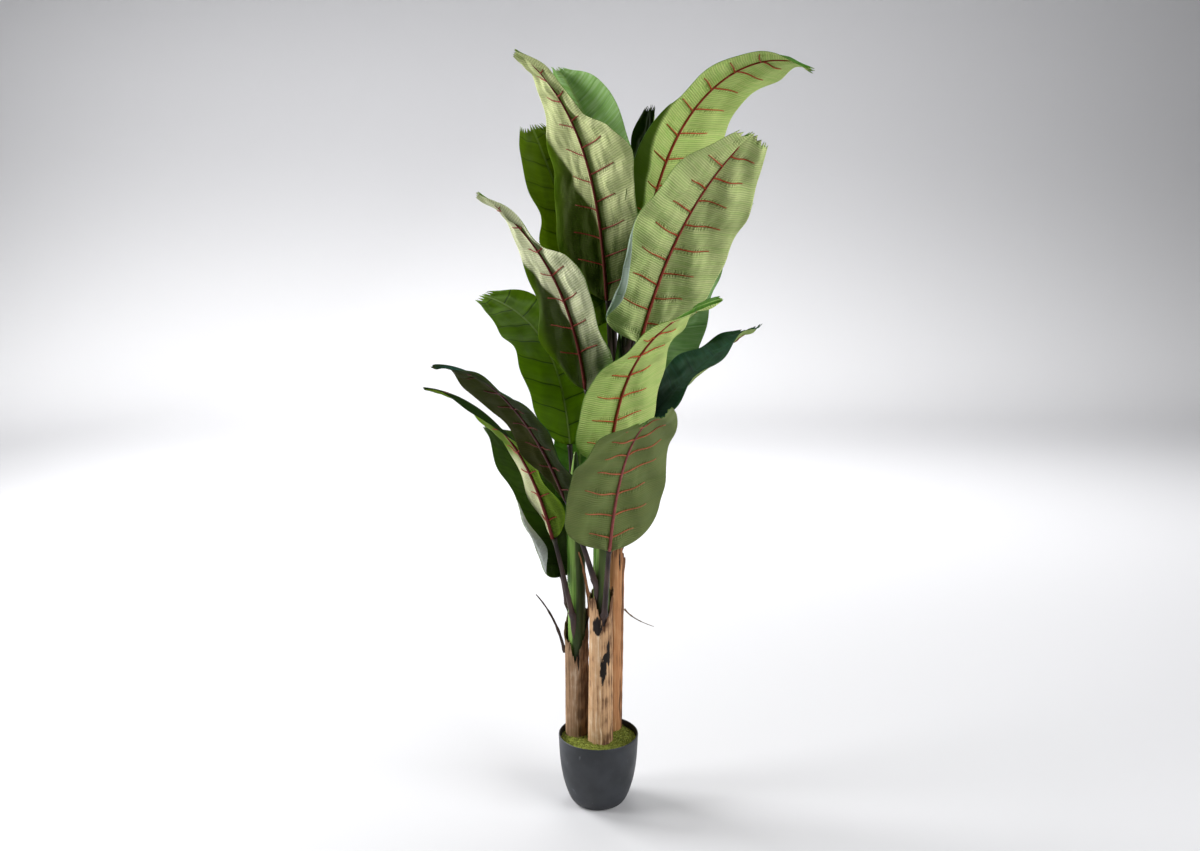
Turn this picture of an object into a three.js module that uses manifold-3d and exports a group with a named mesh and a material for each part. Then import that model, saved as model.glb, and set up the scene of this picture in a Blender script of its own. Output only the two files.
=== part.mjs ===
// Artificial banana plant, 1.8 m tall: three husk-wrapped stems in a round pot filled with cement,
// a layer of moss, and broad leaves on long stalks. Millimetres, +Z up, origin under the pot.
import * as THREE from 'three';
import { mergeVertices } from 'three/addons/utils/BufferGeometryUtils.js';
import Module from 'manifold-3d';

const CLEAR = 0.3; // gap between pieces that touch on the real plant

// Pot, turned from its outer profile as [radius, height].
const POT_PROFILE = [[57, 0], [64, 4], [70, 12], [76, 25], [82, 42], [88.5, 66], [93.5, 95], [96.5, 124],
  [98, 150], [99, 177]];
const POT_HEIGHT = 180;
const POT_WALL = 3;
const POT_FLOOR = 5;
const POT_SIDES = 40;

// Cement filling and the moss on it.
const FILL_TOP = 155;
const MOSS_EDGE = 164;
const MOSS_CROWN = 169;
const MOSS_BUMP = 2.2;

// Stems: foot in plan, lean in mm per mm of height, height of the top, radius at foot and top.
const STEM_SIDES = 20;
const STEM_FOOT = FILL_TOP + CLEAR;
const STEMS = {
  left: { foot: [-52, 24], lean: [-0.004, 0.004], top: 890, radius: [21, 24] },
  front: { foot: [6, -16], lean: [0.004, -0.004], top: 910, radius: [23, 19] },
  back: { foot: [30, 58], lean: [0.02, 0.006], top: 1175, radius: [22, 16] },
};

// Husks: dry sheaths round the lower stems. The top edge drops to a notch that faces one way.
const HUSK_GAP = 0.4;
const HUSK_THICK = 4;
const HUSK_RIB = 0.8;
const HUSKS = {
  left: { low: 362, high: 485, notch: -100, wide: 120 },
  front: { low: 468, high: 548, notch: -75, wide: 70 },
  back: { low: 430, high: 655, notch: 84, wide: 110 },
};

// Loose husk strips: where each leaves its husk, how far it reaches out and up, and its thickness.
const STRIPS = {
  left: { husk: 'left', side: 180, start: 380, reach: [-70, 0], climb: 152, size: [5, 1.6] },
  front: { husk: 'front', side: 160, start: 486, reach: [-28, 3], climb: 164, size: [4.5, 1.4] },
  right: { husk: 'back', side: 0, start: 482, reach: [74, -2], climb: -46, size: [1.8, 1.2] },
};

// Leaf stalks.
const STALK_FOOT = 7;
const STALK_HEAD = 5.5;
const STALK_SIDES = 8;
const STALK_STEPS = 5;

// Leaf blades: how the outline widens, holds and narrows, and how the edges wave.
const BLADE_SHOULDER = 0.2; // share of the length over which it widens
const BLADE_FULL = 0.55; // share of the length after which it narrows
const BLADE_TIP = 0.22; // width left at the blunt tip
const BLADE_NECK = 0.08; // width at the stalk
const BLADE_CURL = 20;
const BLADE_WAVE = 6;
const BLADE_WAVES = 2.5;
const BLADE_STEPS = 14;
const BLADE_ACROSS = [-1, -0.55, -0.08, 0, 0.08, 0.55, 1];
const MIDRIB_RIDGE = 4;
const LINE_STEPS = 60;

// Leaves. rise: height on the stem. heading: way it points in plan, in degrees from +X. seat: side of the
// stem it grows from, if another. stalk, blade, width: sizes. lift, tip: slope at foot and tip in degrees.
// bend: how late it arches. swing: turn in plan by the tip. roll: twist at neck and tip. fold: slope of the
// two halves at the neck. foldTip: their slope at the tip, if another. curl: how far each half bends on its
// way to the margin. shoulder: share of the blade over which each half widens. full: where it narrows.
// share: how much of its width each half keeps, where one is drawn in.
const LEAVES = {
  back_1: { rise: 1060, heading: 229, stalk: 195, blade: 621, width: 240, lift: 86, tip: 32, bend: 2.55,
    swing: -25, roll: [2, 8], fold: [-4, -16], foldTip: [-4, 4], curl: [20, -24], shoulder: [0.2, 0.32] },
  back_2: { rise: 1000, heading: 146, stalk: 190, blade: 520, width: 174, lift: 79, tip: 55, bend: 1.4,
    swing: -17, roll: [13, 4], fold: [-5, 12], full: 0.7 },
  back_3: { rise: 1060, heading: 105, stalk: 190, blade: 655, width: 200, lift: 85, tip: 36, bend: 1.6,
    swing: 23, roll: [26, 7], fold: [12, 34] },
  back_4: { rise: 1085, heading: 76, seat: 70, stalk: 223, blade: 429, width: 92, lift: 73, tip: 71,
    bend: 1.5, swing: -20, roll: [27, 15], fold: [-5, 4], shoulder: [0.3, 0.3] },
  back_5: { rise: 1140, heading: -31, stalk: 207, blade: 670, width: 264, lift: 81, tip: -28, bend: 2.94,
    swing: 2, roll: [44, 38], fold: [7, -48], foldTip: [24, -18], curl: [5, -25], shoulder: [0.4, 0.56],
    full: 0.47 },
  back_6: { rise: 990, heading: -44, stalk: 175, blade: 565, width: 252, lift: 76, tip: 37, bend: 1.6,
    swing: 4, roll: [27, 8], fold: [-38, -9], shoulder: [0.42, 0.2] },
  back_7: { rise: 832, heading: 52, seat: 68, stalk: 226, blade: 542, width: 204, lift: 65, tip: 42,
    bend: 1.61, swing: -39, roll: [-10, 15], fold: [12, -48], foldTip: [12, 8] },
  back_8: { rise: 860, heading: 2, stalk: 97, blade: 372, width: 160, lift: 72, tip: 22, bend: 0.75,
    swing: 39, roll: [-26, 20], fold: [4, 0], shoulder: [0.34, 0.34] },
  back_9: { rise: 830, heading: 152, stalk: 190, blade: 400, width: 180, lift: 84, tip: 50, bend: 1.5,
    swing: -10, roll: [0, 0], fold: [12, 12] },
  back_10: { rise: 1084, heading: 38, seat: 26, stalk: 196, blade: 485, width: 120, lift: 78, tip: 40,
    bend: 0.9, swing: 23, roll: [-8, 0], fold: [0, 12], shoulder: [0.3, 0.3] },
  back_11: { rise: 500, heading: 86, stalk: 130, blade: 400, width: 160, lift: 80, tip: 30, bend: 1.4,
    swing: 0, roll: [0, 0], fold: [12, 12] },
  back_12: { rise: 640, heading: 56, stalk: 150, blade: 430, width: 170, lift: 79, tip: 30, bend: 1.3,
    swing: 0, roll: [0, 0], fold: [12, 12] },
  front_1: { rise: 748, heading: -71, stalk: 140, blade: 550, width: 216, lift: 84, tip: 17, bend: 1.4,
    swing: 49, roll: [-3, -8], fold: [-9, -16] },
  front_2: { rise: 508, heading: -75, stalk: 177, blade: 528, width: 240, lift: 78, tip: 14, bend: 1.9,
    swing: 7, roll: [3, -16], fold: [-4, -13] },
  front_3: { rise: 868, heading: 213, stalk: 188, blade: 529, width: 188, lift: 87, tip: 32, bend: 1.75,
    swing: -20, roll: [-13, 0], fold: [-10, -20], foldTip: [-10, 4], curl: [20, -24],
    shoulder: [0.2, 0.36] },
  front_4: { rise: 592, heading: 224, seat: 229, stalk: 233, blade: 572, width: 186, lift: 69, tip: 6,
    bend: 2.11, swing: 16, roll: [6, 5], fold: [-23, -16], foldTip: [-23, -18], curl: [20, 0],
    shoulder: [0.2, 0.5], share: [1, 0.8] },
  left_1: { rise: 700, heading: 105, stalk: 200, blade: 490, width: 205, lift: 87, tip: 14, bend: 1.5,
    swing: 60, roll: [-20, 30], fold: [-5, -12], full: 0.62 },
  left_2: { rise: 494, heading: 210, seat: 248, stalk: 203, blade: 518, width: 160, lift: 77, tip: 9,
    bend: 2.65, swing: -14, roll: [0, -12], fold: [46, -2], foldTip: [-62, -10], curl: [0, 10],
    share: [0.56, 1] },
  left_3: { rise: 506, heading: 145, stalk: 66, blade: 432, width: 194, lift: 80, tip: 33, bend: 1.07,
    swing: -9, roll: [14, -8], fold: [8, 12], shoulder: [0.2, 0.42] },
  left_4: { rise: 572, heading: 92, seat: 70, stalk: 128, blade: 345, width: 136, lift: 83, tip: 42,
    bend: 1.4, swing: 0, roll: [0, 0], fold: [12, 12] },
};

function paint(name, color, roughness) {
  const material = new THREE.MeshStandardMaterial({ color, roughness, metalness: 0 });
  material.name = name;
  return material;
}
const POT_PAINT = paint('pot_slate', 0x3d4248, 0.55);
const FILL_PAINT = paint('fill_cement', 0x8d8a84, 0.95);
const MOSS_PAINT = paint('moss_green', 0x66762a, 1);
const STEM_PAINT = paint('stem_green', 0x5f7d33, 0.5);
const HUSK_PAINT = paint('husk_brown', 0x8a6a48, 0.9);
const STALK_PAINT = paint('stalk_plum', 0x4a3638, 0.5);
const LEAF_PAINT = paint('leaf_green', 0x5d8038, 0.6);

const rad = THREE.MathUtils.degToRad;
const lerp = THREE.MathUtils.lerp;
const plant = new THREE.Group();
plant.name = 'banana_plant';
const wasm = await Module();
wasm.setup();

function add(name, geometry, material) {
  geometry.computeVertexNormals();
  const mesh = new THREE.Mesh(geometry, material);
  mesh.name = name;
  plant.add(mesh);
}

// A closed skin over rings of points that turn the same way round. It ends in flat caps, or joins its
// last ring to its first.
function skin(rings, ends) {
  const n = rings[0].length;
  const points = rings.flat();
  const faces = [];
  const spans = ends === 'loop' ? rings.length : rings.length - 1;
  for (let i = 0; i < spans; i++) {
    const a = i * n;
    const b = ((i + 1) % rings.length) * n;
    for (let j = 0; j < n; j++) {
      const k = (j + 1) % n;
      faces.push(a + j, a + k, b + k, a + j, b + k, b + j);
    }
  }
  const last = (rings.length - 1) * n;
  if (ends === 'fan') {
    for (const [start, turn] of [[0, -1], [last, 1]]) {
      const middle = new THREE.Vector3();
      for (let j = 0; j < n; j++) middle.addScaledVector(points[start + j], 1 / n);
      points.push(middle);
      for (let j = 0; j < n; j++) {
        const pair = [start + j, start + ((j + 1) % n)];
        if (turn < 0) pair.reverse();
        faces.push(points.length - 1, ...pair);
      }
    }
  }
  if (ends === 'strip') {
    for (let j = 0; j < n / 2 - 1; j++) {
      const a = [j, j + 1, n - 2 - j, n - 1 - j];
      faces.push(a[0], a[2], a[1], a[0], a[3], a[2]);
      const b = a.map((k) => last + k);
      faces.push(b[0], b[1], b[2], b[0], b[2], b[3]);
    }
  }
  const geometry = new THREE.BufferGeometry().setFromPoints(points);
  geometry.setIndex(faces);
  return geometry;
}

function circle(x, y, z, radius, sides) {
  const ring = [];
  for (let j = 0; j < sides; j++) {
    const a = (2 * Math.PI * j) / sides;
    ring.push(new THREE.Vector3(x + radius * Math.cos(a), y + radius * Math.sin(a), z));
  }
  return ring;
}

function potRadius(z) {
  for (let i = 1; i < POT_PROFILE.length; i++) {
    const [r1, z1] = POT_PROFILE[i];
    const [r0, z0] = POT_PROFILE[i - 1];
    if (z <= z1) return lerp(r0, r1, (z - z0) / (z1 - z0));
  }
  return POT_PROFILE[POT_PROFILE.length - 1][0];
}

function makePot() {
  const profile = [...POT_PROFILE, [98.2, POT_HEIGHT - 0.6], [97.4, POT_HEIGHT], [96.6, POT_HEIGHT - 0.6]];
  for (const [r, z] of [...POT_PROFILE].reverse()) {
    if (z > POT_FLOOR + 8) profile.push([r - POT_WALL, z]);
  }
  profile.push([potRadius(POT_FLOOR) - POT_WALL, POT_FLOOR]);
  add('pot', skin(profile.map(([r, z]) => circle(0, 0, z, r, POT_SIDES)), 'fan'), POT_PAINT);
}

function makeFill() {
  const levels = [[potRadius(POT_FLOOR) - POT_WALL, POT_FLOOR + CLEAR]];
  for (const [r, z] of POT_PROFILE) {
    if (z > POT_FLOOR + 8 && z < FILL_TOP) levels.push([r - POT_WALL, z]);
  }
  levels.push([potRadius(FILL_TOP) - POT_WALL, FILL_TOP]);
  add('pot_fill', skin(levels.map(([r, z]) => circle(0, 0, z, r - CLEAR, POT_SIDES)), 'fan'), FILL_PAINT);
}

function solid(geometry) {
  geometry.deleteAttribute('normal');
  geometry.deleteAttribute('uv');
  const g = mergeVertices(geometry);
  const triVerts = new Uint32Array(g.index.array);
  const vertProperties = g.attributes.position.array;
  return new wasm.Manifold(new wasm.Mesh({ numProp: 3, vertProperties, triVerts }));
}

function geometryOf(manifold) {
  const mesh = manifold.getMesh();
  const g = new THREE.BufferGeometry();
  g.setAttribute('position', new THREE.BufferAttribute(mesh.vertProperties, 3));
  g.setIndex(new THREE.BufferAttribute(mesh.triVerts, 1));
  return g;
}

function stemAt(name, z) {
  const { foot, lean, top, radius } = STEMS[name];
  const up = z - STEM_FOOT;
  const share = THREE.MathUtils.clamp(up / (top - STEM_FOOT), 0, 1);
  return {
    x: foot[0] + lean[0] * up,
    y: foot[1] + lean[1] * up,
    radius: lerp(radius[0], radius[1], share),
  };
}

// The moss fills the pot from wall to wall and lies round the husks.
function makeMoss() {
  const rim = potRadius(FILL_TOP) - POT_WALL - CLEAR;
  const rings = [circle(0, 0, FILL_TOP + CLEAR, rim, POT_SIDES), circle(0, 0, MOSS_EDGE, rim, POT_SIDES)];
  for (const share of [0.85, 0.65, 0.45, 0.25]) {
    const ring = circle(0, 0, 0, rim * share, POT_SIDES);
    ring.forEach((p, j) => {
      const bump = Math.sin(j * 1.9 + share * 31) * Math.cos(j * 0.7 - share * 17);
      p.z = lerp(MOSS_CROWN, MOSS_EDGE, share * share) + MOSS_BUMP * bump;
    });
    rings.push(ring);
  }
  let moss = solid(skin(rings, 'fan'));
  for (const name of Object.keys(STEMS)) {
    const { x, y, radius } = stemAt(name, MOSS_EDGE);
    const hole = radius + HUSK_GAP + HUSK_THICK + HUSK_RIB + 2 * CLEAR;
    const ends = [FILL_TOP - 20, MOSS_CROWN + 20];
    const rod = ends.map((z) => circle(x, y, z, hole, STEM_SIDES));
    moss = moss.subtract(solid(skin(rod, 'fan')));
  }
  add('moss_top', geometryOf(moss), MOSS_PAINT);
}

function makeStem(name) {
  const rings = [];
  const steps = 6;
  for (let i = 0; i <= steps; i++) {
    const z = lerp(STEM_FOOT, STEMS[name].top, i / steps);
    const { x, y, radius } = stemAt(name, z);
    rings.push(circle(x, y, z, radius, STEM_SIDES));
  }
  add(`stem_${name}`, skin(rings, 'fan'), STEM_PAINT);
}

function huskTop(name, angle) {
  const { low, high, notch, wide } = HUSKS[name];
  let away = Math.abs(angle - notch) % 360;
  if (away > 180) away = 360 - away;
  const ragged = 7 * Math.sin(rad(angle * 5)) + 5 * Math.sin(rad(angle * 3 + 40));
  return lerp(low, high, Math.min(1, away / wide) ** 0.8) + ragged;
}

// The husk's outside, ribbed and thinner towards its top edge.
function huskRadius(name, angle, z) {
  const share = THREE.MathUtils.clamp((z - STEM_FOOT) / (huskTop(name, angle) - STEM_FOOT), 0, 1);
  const rib = HUSK_RIB * Math.sin(rad(angle * 4 + 50));
  return stemAt(name, z).radius + HUSK_GAP + lerp(HUSK_THICK, HUSK_THICK - 1.5, share) + rib;
}

function makeHusk(name) {
  const outer = [];
  const inner = [];
  const steps = 6;
  for (let i = 0; i <= steps; i++) {
    const out = [];
    const within = [];
    for (let j = 0; j < STEM_SIDES; j++) {
      const angle = (360 * j) / STEM_SIDES;
      const z = lerp(STEM_FOOT, huskTop(name, angle), i / steps);
      const { x, y, radius } = stemAt(name, z);
      const r = huskRadius(name, angle, z);
      const c = Math.cos(rad(angle));
      const s = Math.sin(rad(angle));
      out.push(new THREE.Vector3(x + r * c, y + r * s, z));
      within.push(new THREE.Vector3(x + (radius + HUSK_GAP) * c, y + (radius + HUSK_GAP) * s, z));
    }
    outer.push(out);
    inner.unshift(within);
  }
  add(`husk_${name}`, skin([...outer, ...inner], 'loop'), HUSK_PAINT);
}

// A strip peels off its husk, runs up along it and then bends away.
function makeStrip(name) {
  const { husk, side, start, reach, climb, size } = STRIPS[name];
  const [wide, thin] = size;
  const { x, y } = stemAt(husk, start);
  const off = huskRadius(husk, side, start) + thin + CLEAR;
  const from = new THREE.Vector3(x + off * Math.cos(rad(side)), y + off * Math.sin(rad(side)), start);
  const to = from.clone().add(new THREE.Vector3(reach[0], reach[1], climb));
  const turn = from.clone().add(new THREE.Vector3(reach[0] * 0.25, reach[1] * 0.25, climb * 0.6));
  const path = new THREE.QuadraticBezierCurve3(from, turn, to);
  const rings = [];
  const steps = 8;
  for (let i = 0; i <= steps; i++) {
    const t = i / steps;
    const along = path.getTangent(t);
    const flat = new THREE.Vector3(-Math.sin(rad(side)), Math.cos(rad(side)), 0);
    const face = new THREE.Vector3().crossVectors(along, flat).normalize();
    const taper = 1 - 0.75 * t;
    const ring = [];
    for (let j = 0; j < 6; j++) {
      const a = (2 * Math.PI * j) / 6;
      const p = path.getPoint(t);
      p.addScaledVector(flat, wide * taper * Math.cos(a));
      p.addScaledVector(face, thin * taper * Math.sin(a));
      ring.push(p);
    }
    rings.push(ring);
  }
  add(`husk_strip_${name}`, skin(rings, 'fan'), HUSK_PAINT);
}

function direction(leaf, s) {
  const slope = rad(lerp(leaf.lift, leaf.tip, s ** leaf.bend));
  const turn = rad(leaf.heading + leaf.swing * s * s);
  const flat = Math.cos(slope);
  const along = new THREE.Vector3(flat * Math.cos(turn), flat * Math.sin(turn), Math.sin(slope));
  const across = new THREE.Vector3(Math.sin(turn), -Math.cos(turn), 0);
  const above = new THREE.Vector3().crossVectors(across, along);
  return { along, across, above };
}

// The line of a leaf from the stem along its stalk and midrib to the tip.
function leafLine(stem, leaf) {
  const length = leaf.stalk + leaf.blade;
  const seat = rad(leaf.seat ?? leaf.heading);
  const { x, y, radius } = stemAt(stem, leaf.rise);
  const off = radius + CLEAR + STALK_FOOT * Math.sin(rad(leaf.lift));
  const p = new THREE.Vector3(x + off * Math.cos(seat), y + off * Math.sin(seat), leaf.rise);
  const points = [p.clone()];
  for (let i = 0; i < LINE_STEPS; i++) {
    p.addScaledVector(direction(leaf, (i + 0.5) / LINE_STEPS).along, length / LINE_STEPS);
    points.push(p.clone());
  }
  return points;
}

function onLine(points, s) {
  const f = THREE.MathUtils.clamp(s, 0, 1) * LINE_STEPS;
  const i = Math.min(Math.floor(f), LINE_STEPS - 1);
  return points[i].clone().lerp(points[i + 1], f - i);
}

function makeStalk(name, leaf, line) {
  const length = leaf.stalk + leaf.blade;
  const rings = [];
  for (let i = 0; i <= STALK_STEPS; i++) {
    const k = i / STALK_STEPS;
    const s = (leaf.stalk * k - CLEAR * Math.floor(k)) / length;
    const { across, above } = direction(leaf, s);
    const radius = lerp(STALK_FOOT, STALK_HEAD, k);
    const ring = [];
    for (let j = 0; j < STALK_SIDES; j++) {
      const a = (2 * Math.PI * j) / STALK_SIDES;
      const p = onLine(line, s);
      p.addScaledVector(above, radius * Math.cos(a)).addScaledVector(across, radius * Math.sin(a));
      ring.push(p);
    }
    rings.push(ring);
  }
  add(`petiole_${name}`, skin(rings, 'fan'), STALK_PAINT);
}

function bladeShape(t, shoulder, full) {
  if (t < shoulder) return Math.sqrt(1 - (1 - t / shoulder) ** 2);
  if (t < full) return 1;
  return 1 - (1 - BLADE_TIP) * ((t - full) / (1 - full)) ** 1.9;
}

function makeBlade(name, leaf, line) {
  const length = leaf.stalk + leaf.blade;
  const half = leaf.blade / 200;
  const shoulder = leaf.shoulder ?? [BLADE_SHOULDER, BLADE_SHOULDER];
  const bends = leaf.curl ?? [BLADE_CURL, BLADE_CURL];
  const foldTip = leaf.foldTip ?? leaf.fold;
  const share = leaf.share ?? [1, 1];
  const rings = [];
  for (let i = 0; i <= BLADE_STEPS; i++) {
    const t = i / BLADE_STEPS;
    const s = (leaf.stalk + leaf.blade * t) / length;
    const { across, above } = direction(leaf, s);
    const roll = rad(lerp(leaf.roll[0], leaf.roll[1], t));
    const side = across.clone().multiplyScalar(Math.cos(roll)).addScaledVector(above, Math.sin(roll));
    const face = above.clone().multiplyScalar(Math.cos(roll)).addScaledVector(across, -Math.sin(roll));
    const top = [];
    const under = [];
    for (const u of BLADE_ACROSS) {
      const k = u < 0 ? 0 : 1;
      const shape = bladeShape(t, shoulder[k], leaf.full ?? BLADE_FULL);
      const w = share[k] * (leaf.width / 2) * Math.max(shape, BLADE_NECK);
      const fold = rad(lerp(leaf.fold[k], foldTip[k], t));
      const curl = rad(bends[k] || 0.1);
      const a = Math.abs(u);
      const out = (w / curl) * (Math.sin(fold + curl * a) - Math.sin(fold));
      const wave = BLADE_WAVE * a * a * Math.sin(2 * Math.PI * BLADE_WAVES * t + 1.3 * k);
      const up = (w / curl) * (Math.cos(fold) - Math.cos(fold + curl * a)) + wave;
      const p = onLine(line, s).addScaledVector(side, out * Math.sign(u)).addScaledVector(face, up);
      const ridge = u === 0 ? MIDRIB_RIDGE * (1 - t) : 0;
      top.push(p.clone().addScaledVector(face, half));
      under.unshift(p.clone().addScaledVector(face, -half - ridge));
    }
    rings.push([...top, ...under]);
  }
  add(`leaf_${name}`, skin(rings, 'strip'), LEAF_PAINT);
}

makePot();
makeFill();
makeMoss();
for (const name of Object.keys(STEMS)) {
  makeStem(name);
  makeHusk(name);
}
for (const name of Object.keys(STRIPS)) makeStrip(name);
for (const [name, leaf] of Object.entries(LEAVES)) {
  const line = leafLine(name.split('_')[0], leaf);
  makeStalk(name, leaf, line);
  makeBlade(name, leaf, line);
}

export default plant;
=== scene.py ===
import bpy
import bmesh
import math
import numpy as np
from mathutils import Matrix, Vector


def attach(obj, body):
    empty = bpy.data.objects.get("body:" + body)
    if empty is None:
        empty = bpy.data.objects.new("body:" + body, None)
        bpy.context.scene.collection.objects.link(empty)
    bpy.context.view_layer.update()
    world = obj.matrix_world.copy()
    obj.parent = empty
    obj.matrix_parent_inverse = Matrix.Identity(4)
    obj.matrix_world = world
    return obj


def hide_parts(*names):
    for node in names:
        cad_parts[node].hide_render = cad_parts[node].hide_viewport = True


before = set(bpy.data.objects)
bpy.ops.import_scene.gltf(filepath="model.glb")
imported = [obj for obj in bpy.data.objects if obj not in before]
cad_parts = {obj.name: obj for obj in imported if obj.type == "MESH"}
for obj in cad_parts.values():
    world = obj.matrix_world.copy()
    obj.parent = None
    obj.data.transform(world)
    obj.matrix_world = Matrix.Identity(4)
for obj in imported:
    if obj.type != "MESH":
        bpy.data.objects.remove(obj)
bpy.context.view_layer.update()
mm = 0.001  # plant sizes below are in millimetres, Blender's own are metres
print("frame loaded,", len(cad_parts), "nodes")


# Small tools

def lerp(a, b, k):
    return a + (b - a) * k


def ease(low, high, x):
    k = np.clip((x - low) / (high - low), 0, 1)
    return k * k * (3 - 2 * k)


def bell(x, middle, wide):
    return np.exp(-((x - middle) / wide) ** 2)


def unit(vectors):
    return vectors / np.linalg.norm(vectors, axis=1)[:, None]


def roundPlaces(x, y, radius, angle, z):
    return np.stack([x + radius * np.cos(angle), y + radius * np.sin(angle), z], -1)


def selectOnly(piece):
    bpy.ops.object.select_all(action="DESELECT")
    piece.select_set(True)
    bpy.context.view_layer.objects.active = piece


def named(name):
    piece = bpy.context.object
    piece.name = name
    piece.data.name = name
    return piece


def startSheet(name, across, along):
    bpy.ops.object.select_all(action="DESELECT")
    bpy.ops.mesh.primitive_grid_add(x_subdivisions=across, y_subdivisions=along, size=2)
    return named(name)


def startTube(name, sides, rings, ends="NGON"):
    bpy.ops.object.select_all(action="DESELECT")
    bpy.ops.mesh.primitive_cylinder_add(vertices=sides, radius=1, depth=2, end_fill_type=ends)
    piece = named(name)
    bpy.ops.object.mode_set(mode="EDIT")
    bpy.ops.mesh.select_mode(type="EDGE")
    bpy.ops.mesh.select_all(action="DESELECT")
    mesh = bmesh.from_edit_mesh(piece.data)
    for edge in mesh.edges:
        edge.select_set(abs(edge.verts[0].co.z - edge.verts[1].co.z) > 1)  # the upright ones
    bmesh.update_edit_mesh(piece.data)
    bpy.ops.mesh.subdivide(number_cuts=rings - 1)
    bpy.ops.object.mode_set(mode="OBJECT")
    return piece


def readPoints(piece):
    flat = np.empty(3 * len(piece.data.vertices))
    piece.data.vertices.foreach_get("co", flat)
    return flat.reshape(-1, 3)


def placePoints(piece, where):
    piece.data.vertices.foreach_set("co", np.asarray(where * mm, np.float32).ravel())
    piece.data.update()


def tubePlaces(piece):
    at = readPoints(piece)
    return np.arctan2(at[:, 1], at[:, 0]), (at[:, 2] + 1) / 2  # angle round, share of the length


def addTone(piece, name, values):
    piece.data.attributes.new(name, "FLOAT", "POINT")
    piece.data.attributes[name].data.foreach_set("value", np.asarray(values, np.float32))


def modify(piece, kind, **settings):
    selectOnly(piece)
    modifier = piece.modifiers.new(kind.lower(), kind)
    for key, value in settings.items():
        setattr(modifier, key, value)
    bpy.ops.object.modifier_apply(modifier=modifier.name)


def fromArrays(name, places, faces):
    mesh = bpy.data.meshes.new(name)
    mesh.from_pydata((places * mm).tolist(), [], faces)
    piece = bpy.data.objects.new(name, mesh)
    bpy.context.scene.collection.objects.link(piece)
    return piece


def smooth(piece):
    selectOnly(piece)
    bpy.ops.object.shade_smooth()


def finishPiece(piece, materials, slotName, *nodes):
    for material in materials:
        piece.data.materials.append(material)
    smooth(piece)
    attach(piece, "root")
    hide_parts(*nodes)


# Material tools

def paint(code):
    if not isinstance(code, str):
        return code  # mixed already
    parts = [int(code[i:i + 2], 16) / 255 for i in (0, 2, 4)]
    return (*[c / 12.92 if c < 0.04 else ((c + 0.055) / 1.055) ** 2.4 for c in parts], 1.0)


def toned(colour, share):
    return (*[share * c for c in colour[:3]], 1.0)


def newMaterial(name, roughness, specular):
    material = bpy.data.materials.new(name)
    material.use_nodes = True
    shader = material.node_tree.nodes["Principled BSDF"]
    shader.inputs["Roughness"].default_value = roughness
    shader.inputs["Specular IOR Level"].default_value = specular
    return material, material.node_tree, shader


def addNode(tree, kind, inputs, **settings):
    node = tree.nodes.new("ShaderNode" + kind)
    for key, value in settings.items():
        setattr(node, key, value)
    for key, value in inputs.items():
        if isinstance(value, bpy.types.NodeSocket):
            tree.links.new(value, node.inputs[key])
        else:
            node.inputs[key].default_value = value
    return node


# the tools below work in the node tree of the first value that they are given

def calc(operation, *values):
    return addNode(values[0].id_data, "Math", dict(enumerate(values)), operation=operation).outputs[0]


def times(value, factor, plus=0.0):
    return calc("MULTIPLY_ADD", value, factor, plus)


def mixColour(factor, first, second, share=1.0):
    if share < 1:  # no more than this much of the second
        factor = times(factor, share)
    sockets = {0: factor, 6: first, 7: second}
    return addNode(factor.id_data, "Mix", sockets, data_type="RGBA").outputs[2]


def ramp(value, low, high, start=0.0, end=1.0):
    sockets = {0: value, 1: low, 2: high, 3: start, 4: end}
    return addNode(value.id_data, "MapRange", sockets, interpolation_type="SMOOTHSTEP").outputs[0]


def noise(vector, scale, detail=3.0, stretch=None):
    tree = vector.id_data
    if stretch:
        scales = stretch if isinstance(stretch, tuple) else (1.0, 1.0, stretch)  # a number is for the height
        vector = addNode(tree, "Mapping", {"Vector": vector, "Scale": scales}).outputs[0]
    return addNode(tree, "TexNoise", {"Vector": vector, "Scale": scale, "Detail": detail}).outputs[0]


def spots(vector, scale, detail, low, high, stretch=None):
    return ramp(noise(vector, scale, detail, stretch), low, high)


def objectPlace(tree):
    return addNode(tree, "TexCoord", {}).outputs["Object"]


def readTone(tree, name):
    return addNode(tree, "Attribute", {}, attribute_name=name).outputs["Fac"]


def colourInto(shader, colour):
    shader.id_data.links.new(colour, shader.inputs["Base Color"])


def bumpInto(shader, height, distance):
    tree = shader.id_data
    bump = addNode(tree, "Bump", {"Height": height, "Distance": distance})
    tree.links.new(bump.outputs[0], shader.inputs["Normal"])


def speckled(name, roughness, specular, base, layers, bump=None):
    # a base colour under layers of noise, each a colour, how much of it, and what spots takes
    material, tree, shader = newMaterial(name, roughness, specular)
    place = objectPlace(tree)
    colour = paint(base)
    for code, share, *pattern in layers:
        colour = mixColour(spots(place, *pattern), colour, paint(code), share)
    colourInto(shader, colour)
    if bump:
        distance, *pattern = bump
        bumpInto(shader, noise(place, *pattern), distance)
    return material, tree, shader, colour


# Stems, as the CAD has them

stems = {
    "left": dict(foot=(-52, 24), lean=(-0.004, 0.004), top=890, radius=(21, 24)),
    "front": dict(foot=(6, -16), lean=(0.004, -0.004), top=910, radius=(23, 19)),
    "back": dict(foot=(30, 58), lean=(0.02, 0.006), top=1175, radius=(22, 16)),
}
stemFoot = 155.3


def stemAt(name, z):
    stem = stems[name]
    up = z - stemFoot
    radius = lerp(*stem["radius"], np.clip(up / (stem["top"] - stemFoot), 0, 1))
    return stem["foot"][0] + stem["lean"][0] * up, stem["foot"][1] + stem["lean"][1] * up, radius


# Leaves

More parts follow.
